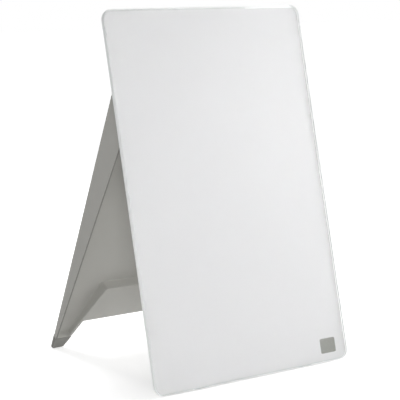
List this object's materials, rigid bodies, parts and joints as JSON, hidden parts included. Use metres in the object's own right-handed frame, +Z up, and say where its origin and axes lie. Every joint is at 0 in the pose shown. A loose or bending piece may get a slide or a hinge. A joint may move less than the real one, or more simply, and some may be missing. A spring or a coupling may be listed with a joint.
{
  "type": "desk whiteboard easel",
  "caption": "Portrait glass-fronted magnetic writing board on a hinged, wedge-shaped moulded stand with rubber feet that folds flat behind it.",
  "frame": {"origin": "on the desk, under the middle of the standing easel: half way along its width and half way from the front of the glass to the heel of the rear feet", "axes": "+X along the desk to the right as seen from the front, +Y to the rear, +Z up; the writing face looks towards -Y and up"},
  "size_m": [0.23, 0.212, 0.3461],
  "materials": {
    "glass": "clear polished",
    "white_backing": "white film behind the glass",
    "steel_sheet": "light grey satin powder coat",
    "badge": "satin, bare",
    "clear_pad": "translucent silicone",
    "foam_tape": "foam",
    "housing": "fine moulded texture",
    "stand": "fine moulded texture",
    "bracket": "tumbled die casting",
    "zinc_screw": "zinc plated",
    "steel_rod": "ground",
    "friction_washer": "natural nylon",
    "bush": "black acetal",
    "soft_trim": "matt"
  },
  "bodies": {
    "board": {"glass_panel": "glass", "white_backing": "white_backing", "steel_sheet": "steel_sheet", "blank_badge": "badge", "board_foot_left": "clear_pad", "board_foot_right": "clear_pad", "tape_strips": "foam_tape", "back_housing": "housing", "hinge_bracket_left": "bracket", "hinge_bracket_right": "bracket", "bracket_screws": "zinc_screw", "hinge_rod": "steel_rod", "rod_clips": "steel_rod", "friction_washers": "friction_washer"},
    "stand": {"stand_shell": "stand", "stop_buffer_left": "soft_trim", "stop_buffer_right": "soft_trim", "rim_bead_left": "soft_trim", "rim_bead_right": "soft_trim", "rubber_foot_left": "soft_trim", "rubber_foot_right": "soft_trim", "hinge_bush_left_outer": "bush", "hinge_bush_left_inner": "bush", "hinge_bush_right_inner": "bush", "hinge_bush_right_outer": "bush"}
  },
  "joints": [
    {"name": "stand_hinge", "type": "hinge", "parent": "board", "child": "stand", "pos_m": [0, -0.02467, 0.24415], "axis": [1, 0, 0], "range_deg": [-44.3, 0]}
  ]
}
